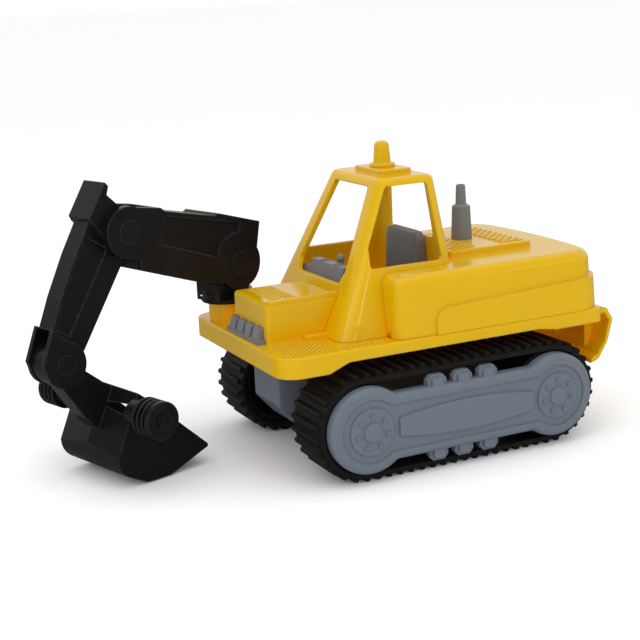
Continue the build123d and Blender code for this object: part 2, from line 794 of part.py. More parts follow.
# ---------------------------------------------------------------- cab
roof_plate_rear = -4.0
roof_plate_front = 21.5
roof_plate_half_width = 21.0
roof_plate_height = 3.5
with BuildPart() as cab:
    add(cab_outer)
    fillet(cab.faces().sort_by(Axis.Z)[-1].edges(), roof_rounding)
    add(cab_inner, mode=Mode.SUBTRACT)
    # windshield
    with BuildSketch(Plane.YZ.offset(cab_front + 5)) as windshield:
        Polygon(
            (-33.0, windshield_sill),
            (33.0, windshield_sill),
            (37.0, windshield_sill + 9),
            (26.0, window_head),
            (-26.0, window_head),
            (-37.0, windshield_sill + 9),
            align=None,
        )
        fillet(windshield.vertices(), 3.0)
    extrude(amount=-(cab_front + 5 - (roof_front - 8)), mode=Mode.SUBTRACT)
    # rear window
    with BuildSketch(Plane.YZ.offset(cab_rear - 5)) as rear_window:
        Polygon((-33, sill + 12), (33, sill + 12), (27, window_head), (-27, window_head), align=None)
        fillet(rear_window.vertices(), 3.0)
    extrude(amount=cab_wall + 18, mode=Mode.SUBTRACT)
    # side windows, right through
    with BuildSketch(side_plane(cab_half_width + 5)) as side_window:
        Polygon(
            (-7.5, sill),
            (50.0, sill),
            (48.5, sill + 14),
            (29.0, window_head + 1),
            (-4.0, window_head + 1),
            align=None,
        )
        fillet(side_window.vertices(), 3.0)
    extrude(amount=2 * cab_half_width + 10, mode=Mode.SUBTRACT)
    # plate under the beacon
    with BuildSketch(Plane.XY.offset(roof_top)):
        with Locations(((roof_plate_rear + roof_plate_front) / 2, 0)):
            RectangleRounded(roof_plate_front - roof_plate_rear, 2 * roof_plate_half_width, 3.0)
    extrude(amount=roof_plate_height)
    fillet(cab.faces().sort_by(Axis.Z)[-1].edges(), 1.0)
    # screw bosses in the corners
    with BuildSketch(Plane.XY.offset(deck_top)):
        with Locations(*cab_screw_places):
            Circle(screw_boss_radius)
    extrude(amount=body_screw_length + 1)
    with BuildSketch(Plane.XY.offset(deck_top)):
        with Locations(*cab_screw_places):
            Circle(screw_radius)
    extrude(amount=body_screw_length - deck_wall, mode=Mode.SUBTRACT)
save(cab, "cab")

beacon_foot = roof_top + roof_plate_height
with BuildPart() as beacon:
    with BuildSketch(Plane.XY.offset(beacon_foot)):
        with Locations((beacon_x, 0)):
            Circle(beacon_flange_radius)
    extrude(amount=2.8)
    fillet(beacon.edges().group_by(Axis.Z)[-1], 1.2)
    with BuildSketch(Plane.XY.offset(beacon_foot + 2)):
        with Locations((beacon_x, 0)):
            Circle(beacon_radius)
    extrude(amount=beacon_height - 2, taper=5)
    fillet(beacon.edges().group_by(Axis.Z)[-1], 3.6)
save(beacon, "beacon")

# ---------------------------------------------------------------- seat, dashboard, lever, lamps
with BuildPart() as seat:
    with BuildSketch(side_plane(seat_half_width)) as seat_side:
        Polygon(
            (-15.0, deck_top + 12),
            (-11.6, seat_top - 2),
            (-9.5, seat_top),
            (-5.0, seat_top - 2),
            (-3.0, deck_top + 24),
            (26.0, deck_top + 21),
            (28.0, deck_top + 12),
            align=None,
        )
        fillet(seat_side.vertices().sort_by(Axis.Y)[-1], 1.5)
    extrude(amount=2 * seat_half_width)
    # rounded shoulders of the backrest
    for side in (1, -1):
        with BuildSketch(Plane.YZ.offset(-30)) as shoulder:
            with Locations((side * (seat_half_width - 4.5), seat_top - 4.5)):
                Rectangle(9.2, 9.2)
            with Locations((side * (seat_half_width - 9), seat_top - 9)):
                Circle(9.0, mode=Mode.SUBTRACT)
        extrude(amount=80, mode=Mode.SUBTRACT)
    with BuildSketch(Plane.XY.offset(deck_top)):
        with Locations((6, 0)):
            Rectangle(30, 30)
    extrude(amount=12)
save(seat, "seat")

# ---------------------------------------------------------------- dashboard, lever, lamps
dash_front = cab_front - dash_setback
dash_low = deck_top + 12
dash_top = deck_top + dash_height
with BuildPart() as dashboard:
    with BuildSketch(side_plane(dash_half_width)):
        Polygon(
            (dash_front - 10, dash_low),
            (dash_front - 14, dash_top - 8),
            (dash_front - 8, dash_top - 8),
            (dash_front - 7, dash_top),
            (dash_front, dash_top),
            (dash_front + 8, dash_low),
            align=None,
        )
    extrude(amount=2 * dash_half_width)
    for side in (-1, 1):
        with BuildSketch(Plane.XY.offset(dash_top - 6)):
            with Locations((dash_front - 3, side * (dash_half_width - 6))):
                Rectangle(14, 12.5)
        extrude(amount=8, mode=Mode.SUBTRACT)
    with BuildSketch(Plane.XY.offset(deck_top)):
        with Locations((dash_front - 3, 0)):
            Rectangle(10, 2 * dash_half_width - 16)
    extrude(amount=13)
save(dashboard, "dashboard")

lever_x = dash_front - 11
with BuildPart() as lever:
    with BuildSketch(Plane.XY.offset(dash_top - 8)):
        with Locations((lever_x, 0)):
            Circle(2.0)
    extrude(amount=9)
    with Locations((lever_x, 0, dash_top + 2.5)):
        Sphere(3.0)
save(lever, "control_lever")

lamp_pitch = 13.5
lamp_left = 29.0
with BuildPart() as lamps:
    with BuildSketch(Plane.XY.offset(deck_top)):
        with Locations((nose_front + 3.2, lamp_left - lamp_pitch * (lamp_count - 1) / 2 - 2)):
            Rectangle(6.4, lamp_pitch * lamp_count + 2)
    extrude(amount=3.0)
    for i in range(lamp_count):
        with BuildSketch(side_plane(lamp_left - i * lamp_pitch + 2.5)):
            Polygon(
                (nose_front, deck_top + 2),
                (nose_front, deck_top + 11.5),
                (nose_front + 3.2, deck_top + 11.5),
                (nose_front + 5.6, deck_top + 2),
                align=None,
            )
        extrude(amount=9.5)
    chamfer(lamps.edges().filter_by_position(Axis.Z, deck_top + 11, deck_top + 12).filter_by(Axis.X), 1.8)
save(lamps, "headlight_strip")

# ---------------------------------------------------------------- arm
swing_cos = math.cos(math.radians(arm_swing))
swing_sin = math.sin(math.radians(arm_swing))


def arm_plane(u, z, tilt, v):
    """Plane seen from the arm's left: x runs out along the arm at the given tilt, u and v are from the post's axis."""
    rise = math.radians(tilt)
    return Plane(
        origin=(post_x + u * swing_cos - v * swing_sin, post_y + u * swing_sin + v * swing_cos, z),
        x_dir=(math.cos(rise) * swing_cos, math.cos(rise) * swing_sin, math.sin(rise)),
        z_dir=(swing_sin, -swing_cos, 0),
    )


stick_pin_u = rear_pin_u + boom_length * math.cos(math.radians(boom_rise))
stick_pin_z = rear_pin_z + boom_length * math.sin(math.radians(boom_rise))
bucket_pin_u = stick_pin_u + stick_length * math.cos(math.radians(stick_lean))
bucket_pin_z = stick_pin_z - stick_length * math.sin(math.radians(stick_lean))


def boom_plane(v):
    return arm_plane(rear_pin_u, rear_pin_z, boom_rise, v)


def stick_plane(v):
    return arm_plane(stick_pin_u, stick_pin_z, -stick_lean, v)


def bucket_plane(v):
    return arm_plane(bucket_pin_u, bucket_pin_z, 0, v)


lug_radius = 12.0
cheek_clear = lug_half_width + side_gap
spigot_end = deck_under - 0.5
swing_screw_length = 14.0
with BuildPart() as bracket:
    with BuildSketch(Plane.XY.offset(collar_low)):
        with Locations((post_x, post_y)):
            Circle(bracket_radius)
    extrude(amount=collar_top - collar_low)
    fillet(bracket.edges(), 0.8)
    with BuildSketch(arm_plane(0, 0, 0, lug_half_width)):
        with Locations((rear_pin_u, rear_pin_z)):
            Circle(lug_radius)
        Polygon(
            (rear_pin_u - lug_radius, collar_low + 2),
            (rear_pin_u - lug_radius, rear_pin_z),
            (rear_pin_u + lug_radius, rear_pin_z),
            (rear_pin_u + lug_radius, collar_low + 2),
            align=None,
        )
    extrude(amount=2 * lug_half_width)
    # upright rib in front of the lug, with an open pocket between them
    with BuildSketch(arm_plane(0, 0, 0, lug_half_width)):
        Polygon(
            (rear_pin_u + 10, collar_low + 2),
            (rear_pin_u + 10, collar_top + 7),
            (bracket_radius - 1, collar_top + 7),
            (bracket_radius - 1, collar_low + 2),
            align=None,
        )
    extrude(amount=2 * lug_half_width)
    with BuildSketch(arm_plane(0, 0, 0, bracket_radius)):
        Polygon(
            (3.5, collar_low + 2.8),
            (3.5, rear_pin_z - 13),
            (bracket_radius - 3.6, rear_pin_z - 13),
            (bracket_radius - 3.6, collar_low + 2.8),
            align=None,
        )
    extrude(amount=2 * bracket_radius, mode=Mode.SUBTRACT)
    # groove round the collar
    with BuildSketch(Plane.XY.offset(collar_top - 4.6)) as groove:
        with Locations((post_x, post_y)):
            Circle(bracket_radius + 1)
            Circle(bracket_radius - 0.9, mode=Mode.SUBTRACT)
    extrude(amount=1.4, mode=Mode.SUBTRACT)
    # spigot down through the post
    with BuildSketch(Plane.XY.offset(spigot_end)):
        with Locations((post_x, post_y)):
            Circle(spigot_radius)
    extrude(amount=collar_low + 1 - spigot_end)
    with BuildSketch(Plane.XY.offset(spigot_end)):
        with Locations((post_x, post_y)):
            Circle(screw_radius)
    extrude(amount=swing_screw_length, mode=Mode.SUBTRACT)
    with BuildSketch(arm_plane(0, 0, 0, arm_half_width)):
        with Locations((rear_pin_u, rear_pin_z)):
            Circle(pin_radius + pin_gap)
    extrude(amount=2 * arm_half_width, mode=Mode.SUBTRACT)
save(bracket, "swing_bracket")

washer_radius = 11.0
washer_thickness = 1.5
with BuildPart() as swing_screw:
    add(screw(post_x, post_y, spigot_end, swing_screw_length))
    with BuildSketch(Plane.XY.offset(spigot_end)):
        with Locations((post_x, post_y)):
            Circle(washer_radius)
    extrude(amount=-washer_thickness)
    with BuildSketch(Plane.XY.offset(spigot_end - washer_thickness)):
        with Locations((post_x, post_y)):
            Circle(screw_head_radius + 1)
    extrude(amount=-screw_head_height)
save(swing_screw, "swing_screw")

# boom: two cheeks joined by webs and a top plate
boom_foot_radius = 19.0
boom_end_radius = 18.0
recess_depth = 2.4
fork_open = boom_length - 20.3
fork_web = fork_open - 4.0
with BuildPart() as boom:
    with BuildSketch(boom_plane(arm_half_width)) as boom_side:
        Polygon(
            (boom_length + 9.2, 15.5),
            (boom_length - 21.2, 22.3),
            (boom_length - 25.2, 20.8),
            (33.3, 27.7),
            (31.0, 30.3),
            (-8.8, 33.6),
            (-12.1, 14.7),
            (-14.9, -11.4),
            (31.2, -21.0),
            (boom_length - 17.5, -23.1),
            (boom_length - 14.6, -16.0),
            (boom_length - 3.6, -17.4),
            align=None,
        )
        Circle(boom_foot_radius)
        with Locations((boom_length, 0)):
            Circle(boom_end_radius)
    extrude(amount=2 * arm_half_width)
    # room for the swivel lug, the hollow middle, and room for the stick
    with BuildSketch(boom_plane(cheek_clear)):
        Polygon((-40, -30), (-40, 14), (-5, 17), (30, 17), (30, -30), align=None)
        Polygon((34, -30), (34, 23.5), (fork_web, 17.5), (fork_web, -30), align=None)
        Polygon((fork_open, -30), (fork_open, 40), (boom_length + 30, 40), (boom_length + 30, -30), align=None)
    extrude(amount=2 * cheek_clear, mode=Mode.SUBTRACT)
    # recessed panel on each side
    for plane, depth in ((boom_plane(arm_half_width), 1), (boom_plane(-arm_half_width), -1)):
        with BuildSketch(plane) as panel:
            Polygon((fork_web - 1.9, 17.7), (9.1, 28.4), (6.4, 12), (20, -0.3), (fork_web - 3.5, -2.2), align=None)
            Circle(23.0, mode=Mode.SUBTRACT)
        extrude(amount=depth * recess_depth, mode=Mode.SUBTRACT)
    with BuildSketch(boom_plane(arm_half_width)):
        with Locations((0, 0), (boom_length, 0)):
            Circle(pin_radius)
    extrude(amount=2 * arm_half_width, mode=Mode.SUBTRACT)
save(boom, "boom")


def pin(plane, radius, half_length):
    """Plain pin whose slightly domed ends lie flush with the cheeks."""
    with BuildPart() as piece:
        with BuildSketch(plane):
            Circle(radius)
        extrude(amount=2 * half_length)
        chamfer(piece.edges().filter_by(GeomType.CIRCLE), 0.5)
    return piece.part


with BuildPart() as foot_pin:
    add(pin(boom_plane(arm_half_width + 0.3), pin_radius, arm_half_width + 0.3))
save(foot_pin, "boom_foot_pin")

with BuildPart() as stick_pin:
    add(pin(arm_plane(stick_pin_u, stick_pin_z, 0, arm_half_width + 0.3), pin_radius, arm_half_width + 0.3))
save(stick_pin, "stick_pin")

# stick
stick_half_width = 8.5
fork_half_width = 11.5
fork_slot_half_width = 8.3
neck_half_width = 7.9
head_radius = 13.4
fork_radius = 16.0
fork_start = stick_length - 17.6
with BuildPart() as stick:
    with BuildSketch(stick_plane(lug_half_width)) as head:
        Circle(head_radius)
        Polygon(
            (-23.0, 29.5),
            (4.0, 29.5),
            (6.0, 26.0),
            (14.0, -8.0),
            (-head_radius, 0.0),
            (-14.5, 15.4),
            (-16.2, 24.5),
            (-22.0, 26.0),
            align=None,
        )
    extrude(amount=2 * lug_half_width)
    with BuildSketch(stick_plane(stick_half_width)):
        Polygon(
            (0, 26.5),
            (30, 25.5),
            (fork_start - 21, 22.5),
            (fork_start + 8, 17.5),
            (fork_start + 8, -10.5),
            (12, -11.6),
            (0, -8),
            align=None,
        )
    extrude(amount=2 * stick_half_width)
    with BuildSketch(stick_plane(fork_half_width)):
        Polygon(
            (fork_start, 21.0),
            (stick_length + 6.8, 16.5),
            (stick_length + 14, 7.5),
            (stick_length - 4.3, -15.4),
            (fork_start + 6, -11),
            align=None,
        )
        with Locations((stick_length, 0)):
            Circle(fork_radius)
    extrude(amount=2 * fork_half_width)
    # stepped sides
    for plane, depth in ((stick_plane(stick_half_width), 1), (stick_plane(-stick_half_width), -1)):
        with BuildSketch(plane):
            Polygon(
                (15, 4.5),
                (15, 23.6),
                (30, 23),
                (fork_start - 21, 20),
                (fork_start - 1.5, 16.4),
                (fork_start - 1.5, 4.5),
                align=None,
            )
        extrude(amount=depth * 1.3, mode=Mode.SUBTRACT)
    # open along the back
    with BuildSketch(stick_plane(stick_half_width - 3.4)):
        Polygon((24, -20), (24, 20), (50, 18.5), (fork_start - 3.6, 14), (fork_start - 3.6, -20), align=None)
    extrude(amount=2 * (stick_half_width - 3.4), mode=Mode.SUBTRACT)
    # slot for the neck of the bucket
    with BuildSketch(stick_plane(fork_slot_half_width)):
        Polygon(
            (fork_start + 0.6, -30),
            (fork_start + 0.6, 40),
            (stick_length + 50, 40),
            (stick_length + 50, -30),
            align=None,
        )
    extrude(amount=2 * fork_slot_half_width, mode=Mode.SUBTRACT)
    with BuildSketch(stick_plane(arm_half_width)):
        Circle(pin_radius + pin_gap)
        with Locations((stick_length, 0)):
            Circle(stick_pin_radius)
    extrude(amount=2 * arm_half_width, mode=Mode.SUBTRACT)
save(stick, "stick")

with BuildPart() as bucket_pin:
    add(pin(bucket_plane(fork_half_width + 0.3), stick_pin_radius, fork_half_width + 0.3))
save(bucket_pin, "bucket_pin")


# bucket, worked out from its own pin: across (u) and up (w) in the plane of the arm, v to the left
def bucket_point(u, w, v):
    return Vector(
        post_x + (bucket_pin_u + u) * swing_cos - v * swing_sin,
        post_y + (bucket_pin_u + u) * swing_sin + v * swing_cos,
        bucket_pin_z + w,
    )


def beyond(a, b, c, setback):
    """Thick slab outside the plane through three points, starting a little inside it."""
    normal = (b - a).cross(c - a).normalized()
    away = normal if normal.dot(bucket_point(10, 10, 0) - bucket_point(0, 0, 0)) > 0 else -normal
    with BuildPart() as slab:
        with BuildSketch(Plane(origin=a - away * setback, x_dir=b - a, z_dir=away)):
            Rectangle(300, 300)
        extrude(amount=60)
    return slab.part


def flare_cuts(setback):
    """The two facets on each side that widen the neck out to the bucket's sides."""
    cuts = []
    for side in (-1, 1):
        top_in = bucket_point(-36.0, -22.5, side * neck_half_width)
        low_in = bucket_point(-22.6, -50.3, side * neck_half_width)
        top_out = bucket_point(-38.7, -24.3, side * bucket_half_width)
        low_out = bucket_point(-28.3, -33.3, side * bucket_half_width)
        cuts.append(beyond(top_in, top_out, low_out, setback))
        cuts.append(beyond(top_in, low_in, low_out, setback))
    return cuts


def bucket_side():
    """Side view of the bucket: rounded back and floor, straight lip and mouth."""
    with BuildSketch() as outline:
        Polygon(
            (-34.0, -20.0),
            (-17.0, -46.0),
            (-19.6, -78.0),
            (-42.0, -bucket_drop),
            (-62.0, -bucket_drop),
            (-96.0, -77.2),
            (-96.0, -75.0),
            (-48.4, -31.4),
            align=None,
        )
        back = outline.vertices().sort_by(Axis.X)[-1]
        fillet(back, 12.0)
        heel = outline.vertices().filter_by_position(Axis.Y, -79, -77.5).filter_by_position(Axis.X, -25, -15)
        fillet(heel, 17.0)
        sole = outline.vertices().group_by(Axis.Y)[0]
        fillet(sole, 9.0)
    return outline.sketch



with BuildPart() as bucket_cavity:
    with BuildSketch(bucket_plane(bucket_half_width - bucket_wall)) as cavity:
        add(bucket_side())
        offset(amount=-bucket_wall, kind=Kind.INTERSECTION)
        # open mouth towards the digger
        Polygon((-91.5, -74.2), (-46.6, -34.2), (-53.0, -27.5), (-99.0, -69.0), align=None)
    extrude(amount=2 * (bucket_half_width - bucket_wall))
    for cut in flare_cuts(bucket_wall):
        add(cut, mode=Mode.SUBTRACT)

with BuildPart() as bucket:
    with BuildSketch(bucket_plane(bucket_half_width)):
        add(bucket_side())
    extrude(amount=2 * bucket_half_width)
    for cut in flare_cuts(0.0):
        add(cut, mode=Mode.SUBTRACT)
    add(bucket_cavity.part, mode=Mode.SUBTRACT)
    # neck up to the pin
    with BuildSketch(bucket_plane(neck_half_width)):
        Polygon(
            (-13.0, -5.0),
            (-34.0, -22.0),
            (-39.0, -26.0),
            (-31.0, -46.0),
            (-24.5, -52.0),
            (-22.0, -50.3),
            (-13.6, -41.1),
            (4.0, -14.0),
            align=None,
        )
        Circle(fork_radius - 1)
    extrude(amount=2 * neck_half_width)
    with BuildSketch(bucket_plane(neck_half_width)):
        Circle(stick_pin_radius + pin_gap)
    extrude(amount=2 * neck_half_width, mode=Mode.SUBTRACT)
    # sockets for the knobs
    with BuildSketch(bucket_plane(bucket_half_width)):
        with Locations((knob_u, knob_w)):
            Circle(knob_spigot_radius)
    extrude(amount=2 * bucket_half_width, mode=Mode.SUBTRACT)
save(bucket, "bucket")

rib_pitch = 5.1
for side, name in ((1, "left_knob"), (-1, "right_knob")):
    with BuildPart() as knob:
        with BuildSketch(bucket_plane(side * bucket_half_width)):
            with Locations((knob_u, knob_w)):
                Circle(knob_hub_radius)
        extrude(amount=-side * (knob_face - 2 - bucket_half_width))
        with BuildSketch(bucket_plane(side * bucket_half_width)):
            with Locations((knob_u, knob_w)):
                Circle(knob_spigot_radius)
        extrude(amount=side * bucket_wall)
        with BuildSketch(bucket_plane(side * (knob_face - 4.2))):
            with Locations((knob_u, knob_w)):
                Circle(knob_radius)
        extrude(amount=-side * 4.2)
        for i in range(1, knob_ribs):
            with BuildSketch(bucket_plane(side * (knob_face - 1.2 - rib_pitch * i))):
                with Locations((knob_u, knob_w)):
                    Circle(knob_radius)
            extrude(amount=side * 2.4)
        rims = [e for e in knob.edges().filter_by(GeomType.CIRCLE) if e.radius > knob_radius - 0.1]
        chamfer(rims, 0.6)
        # shallow dish in the outer face
        with BuildSketch(bucket_plane(side * knob_face)):
            with Locations((knob_u, knob_w)):
                Circle(6.5)
        extrude(amount=side * 2.6, taper=55, mode=Mode.SUBTRACT)
    save(knob, name)
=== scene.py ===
"""Toy excavator: materials, moulded detail, floor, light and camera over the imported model."""
import bpy
import json
import math
from mathutils import Matrix, Vector


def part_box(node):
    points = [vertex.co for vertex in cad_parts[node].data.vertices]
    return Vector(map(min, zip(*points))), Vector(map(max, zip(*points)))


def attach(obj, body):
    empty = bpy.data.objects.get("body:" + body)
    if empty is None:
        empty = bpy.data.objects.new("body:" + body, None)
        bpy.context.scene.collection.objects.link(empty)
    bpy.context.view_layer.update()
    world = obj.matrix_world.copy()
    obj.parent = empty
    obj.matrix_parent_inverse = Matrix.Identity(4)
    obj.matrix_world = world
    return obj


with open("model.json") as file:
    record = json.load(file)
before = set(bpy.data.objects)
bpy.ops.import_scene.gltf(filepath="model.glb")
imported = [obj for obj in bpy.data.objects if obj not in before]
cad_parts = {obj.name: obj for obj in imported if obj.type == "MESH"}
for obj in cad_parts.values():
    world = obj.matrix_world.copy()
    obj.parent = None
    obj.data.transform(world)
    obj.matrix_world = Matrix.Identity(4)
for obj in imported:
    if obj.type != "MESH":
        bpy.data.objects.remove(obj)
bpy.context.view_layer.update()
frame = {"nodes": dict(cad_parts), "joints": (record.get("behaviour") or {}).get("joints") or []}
MM = 0.001
scene = bpy.context.scene
scene.view_settings.view_transform = "Standard"


# ---------------------------------------------------------------- shader groups
def new_group(name, inputs, outputs):
    """Empty shader group with named sockets; returns the group, its input node and its output node."""
    group = bpy.data.node_groups.new(name, "ShaderNodeTree")
    for label, kind, value in inputs:
        socket = group.interface.new_socket(label, in_out="INPUT", socket_type=kind)
        if value is not None:
            socket.default_value = value
    for label, kind in outputs:
        group.interface.new_socket(label, in_out="OUTPUT", socket_type=kind)
    return group, group.nodes.new("NodeGroupInput"), group.nodes.new("NodeGroupOutput")


def add_math(tree, operation, first, second=None):
    """Math node; each operand is a socket or a number."""
    node = tree.nodes.new("ShaderNodeMath")
    node.operation = operation
    for socket, value in zip(node.inputs, (first, second)):
        if isinstance(value, (int, float)):
            socket.default_value = value
        elif value is not None:
            tree.links.new(value, socket)
    return node.outputs[0]


def add_noise(tree, vector, scale, detail, roughness=0.55):
    node = tree.nodes.new("ShaderNodeTexNoise")
    node.inputs["Detail"].default_value = detail
    node.inputs["Roughness"].default_value = roughness
    if isinstance(scale, (int, float)):
        node.inputs["Scale"].default_value = scale
    else:
        tree.links.new(scale, node.inputs["Scale"])
    tree.links.new(vector, node.inputs["Vector"])
    return node.outputs["Fac"]


def add_range(tree, value, low, high, to_low=0.0, to_high=1.0):
    node = tree.nodes.new("ShaderNodeMapRange")
    node.interpolation_type = "SMOOTHSTEP"
    node.inputs["From Min"].default_value = low
    node.inputs["From Max"].default_value = high
    node.inputs["To Min"].default_value = to_low
    node.inputs["To Max"].default_value = to_high
    tree.links.new(value, node.inputs["Value"])
    return node.outputs["Result"]


def add_mix(tree, factor, first, second, blend="MIX"):
    node = tree.nodes.new("ShaderNodeMix")
    node.data_type = "RGBA"
    node.blend_type = blend
    for socket, value in ((node.inputs[0], factor), (node.inputs[6], first), (node.inputs[7], second)):
        if isinstance(value, (int, float, tuple)):
            socket.default_value = value
        else:
            tree.links.new(value, socket)
    return node.outputs[2]


def object_coordinates(tree):
    return tree.nodes.new("ShaderNodeTexCoord").outputs["Object"]


def make_edge_group():
    """Rounded shading normal along moulded edges, and a mask of where those edges are."""
    group, source, sink = new_group(
        "moulded_edge",
        [("Radius", "NodeSocketFloat", 0.0008), ("Break", "NodeSocketFloat", 0.5)],
        [("Normal", "NodeSocketVector"), ("Mask", "NodeSocketFloat")],
    )
    bevel = group.nodes.new("ShaderNodeBevel")
    bevel.samples = 6
    group.links.new(source.outputs["Radius"], bevel.inputs["Radius"])
    geometry = group.nodes.new("ShaderNodeNewGeometry")
    dot = group.nodes.new("ShaderNodeVectorMath")
    dot.operation = "DOT_PRODUCT"
    group.links.new(bevel.outputs["Normal"], dot.inputs[0])
    group.links.new(geometry.outputs["Normal"], dot.inputs[1])
    edge = add_range(group, dot.outputs["Value"], 0.995, 0.86)
    broken = add_noise(group, object_coordinates(group), 260.0, 4.0, 0.7)
    patchy_edge_wear_and_highlight = add_range(group, broken, 0.42, 0.68)
    kept = add_math(group, "MULTIPLY_ADD", patchy_edge_wear_and_highlight, source.outputs["Break"])
    group.links.new(add_math(group, "SUBTRACT", 1.0, source.outputs["Break"]), kept.node.inputs[2])
    group.links.new(bevel.outputs["Normal"], sink.inputs["Normal"])
    group.links.new(add_math(group, "MULTIPLY", edge, kept), sink.inputs["Mask"])
    return group


def make_tone_group():
    """Slow drift of a colour over a moulding, with fainter small specks."""
    group, source, sink = new_group(
        "moulding_tone",
        [
            ("Color", "NodeSocketColor", None),
            ("Amount", "NodeSocketFloat", 0.1),
            ("Scale", "NodeSocketFloat", 14.0),
        ],
        [("Color", "NodeSocketColor"), ("Mask", "NodeSocketFloat")],
    )
    place = object_coordinates(group)
    slow = add_noise(group, place, source.outputs["Scale"], 3.0)
    speck = add_noise(group, place, 900.0, 2.0)
    both = add_math(group, "MULTIPLY_ADD", speck, 0.25)
    group.links.new(slow, both.node.inputs[2])
    centred = add_math(group, "SUBTRACT", both, 0.62)
    gain = add_math(group, "MULTIPLY_ADD", centred, source.outputs["Amount"])
    gain.node.inputs[2].default_value = 1.0
    scale = group.nodes.new("ShaderNodeVectorMath")
    scale.operation = "SCALE"
    group.links.new(source.outputs["Color"], scale.inputs[0])
    group.links.new(gain, scale.inputs["Scale"])
    group.links.new(scale.outputs["Vector"], sink.inputs["Color"])
    group.links.new(slow, sink.inputs["Mask"])
    return group


def make_grain_group():
    """Fine moulded grain on top of gentle unevenness, as a normal and a height value."""
    group, source, sink = new_group(
        "moulded_grain",
        [
            ("Scale", "NodeSocketFloat", 1500.0),
            ("Strength", "NodeSocketFloat", 0.1),
            ("Ripple", "NodeSocketFloat", 0.03),
            ("Normal", "NodeSocketVector", None),
        ],
        [("Normal", "NodeSocketVector"), ("Value", "NodeSocketFloat")],
    )
    place = object_coordinates(group)
    fine = add_noise(group, place, source.outputs["Scale"], 3.0, 0.6)
    wave = add_noise(group, place, 38.0, 2.0, 0.4)
    first = group.nodes.new("ShaderNodeBump")
    first.inputs["Distance"].default_value = 0.004
    group.links.new(wave, first.inputs["Height"])
    group.links.new(source.outputs["Ripple"], first.inputs["Strength"])
    group.links.new(source.outputs["Normal"], first.inputs["Normal"])
    second = group.nodes.new("ShaderNodeBump")
    second.inputs["Distance"].default_value = 0.0004
    group.links.new(fine, second.inputs["Height"])
    group.links.new(source.outputs["Strength"], second.inputs["Strength"])
    group.links.new(first.outputs["Normal"], second.inputs["Normal"])
    group.links.new(second.outputs["Normal"], sink.inputs["Normal"])
    group.links.new(fine, sink.inputs["Value"])
    return group


def make_scuff_group():
    """Thin handling scratches and dull patches, as a mask."""
    group, source, sink = new_group(
        "handling_scuff",
        [("Amount", "NodeSocketFloat", 0.3)],
        [("Mask", "NodeSocketFloat")],
    )
    place = object_coordinates(group)
    masks = []
    for turn, stretch in ((0.5, 9.0), (2.1, 7.0)):
        mapping = group.nodes.new("ShaderNodeMapping")
        mapping.inputs["Rotation"].default_value = (turn, turn * 0.6, turn * 1.7)
        mapping.inputs["Scale"].default_value = (stretch, 1.0, 1.0)
        group.links.new(place, mapping.inputs["Vector"])
        line = add_noise(group, mapping.outputs["Vector"], 90.0, 2.0, 0.5)
        masks.append(add_range(group, line, 0.70, 0.76))
    lines = add_math(group, "MAXIMUM", masks[0], masks[1])
    patches = add_range(group, add_noise(group, place, 22.0, 3.0), 0.45, 0.7)
    mixed = add_math(group, "MULTIPLY", lines, patches)
    dull = add_math(group, "MULTIPLY_ADD", patches, 0.25)
    group.links.new(mixed, dull.node.inputs[2])
    group.links.new(add_math(group, "MULTIPLY", dull, source.outputs["Amount"]), sink.inputs["Mask"])
    return group


def make_hollow_group():
    """Mask of hollows and inner corners, where light only arrives off other walls; it drives the painted
    bounce light and glow there.
    """
    group, source, sink = new_group(
        "enclosed_mask",
        [
            ("Distance", "NodeSocketFloat", 0.06),
            ("Low", "NodeSocketFloat", 0.25),
            ("High", "NodeSocketFloat", 0.75),
        ],
        [("Mask", "NodeSocketFloat")],
    )
    shade = group.nodes.new("ShaderNodeAmbientOcclusion")
    shade.samples = 8
    group.links.new(source.outputs["Distance"], shade.inputs["Distance"])
    ramp = group.nodes.new("ShaderNodeMapRange")
    ramp.inputs["To Min"].default_value = 1.0
    ramp.inputs["To Max"].default_value = 0.0
    group.links.new(shade.outputs["AO"], ramp.inputs["Value"])
    group.links.new(source.outputs["Low"], ramp.inputs["From Min"])
    group.links.new(source.outputs["High"], ramp.inputs["From Max"])
    group.links.new(ramp.outputs["Result"], sink.inputs["Mask"])
    return group


EDGE = make_edge_group()
TONE = make_tone_group()
GRAIN = make_grain_group()
SCUFF = make_scuff_group()
HOLLOW = make_hollow_group()


def use_group(tree, group, **values):
    node = tree.nodes.new("ShaderNodeGroup")
    node.node_tree = group
    for label, value in values.items():
        node.inputs[label].default_value = value
    return node


